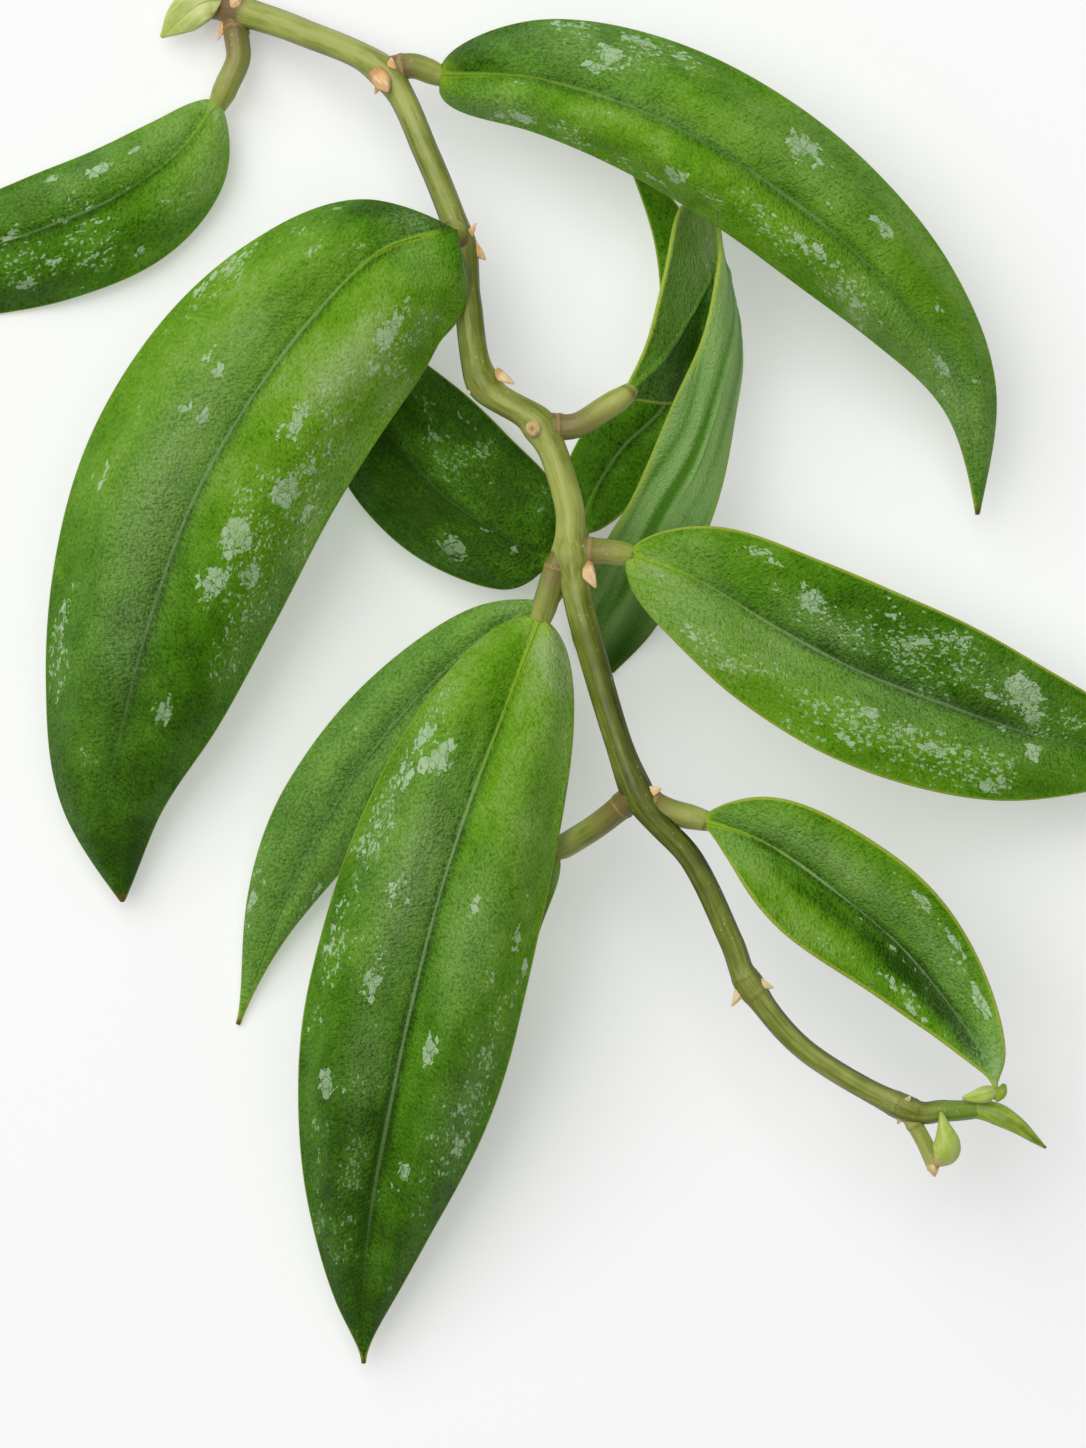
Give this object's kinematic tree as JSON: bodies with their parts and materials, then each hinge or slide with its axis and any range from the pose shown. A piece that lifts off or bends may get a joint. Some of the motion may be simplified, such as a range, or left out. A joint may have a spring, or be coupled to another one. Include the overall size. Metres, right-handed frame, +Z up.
{
  "type": "hoya cutting",
  "caption": "Vine cutting of a hoya lying down: a bent stem with long waxy pointed leaves flecked with silver, and a young growing tip.",
  "frame": {"origin": "middle of the plan outline, on the surface that the cutting lies on", "axes": "+Z up; +Y towards the cut end at the top of the picture, +X to the picture's right"},
  "size_m": [0.2221, 0.2226, 0.0372],
  "materials": {
    "leaf": "waxy green with silver flecks, thin pale midrib",
    "young_leaf": "soft yellow green",
    "stem": "olive green, faintly ribbed, tan scales at the nodes"
  },
  "bodies": {
    "root": {"stem": "stem", "leaf_upper_right": "leaf", "leaf_left": "leaf", "leaf_upper_left": "leaf", "leaf_right": "leaf", "leaf_front": "leaf", "leaf_lower_left": "leaf", "leaf_lower_right": "leaf", "leaf_middle_left": "leaf", "leaf_back": "leaf", "leaf_hidden": "leaf", "leaf_curled": "leaf", "cut_end_leaf": "young_leaf", "tip_leaf": "young_leaf", "tip_bud": "young_leaf", "side_bud": "young_leaf"}
  },
  "joints": []
}
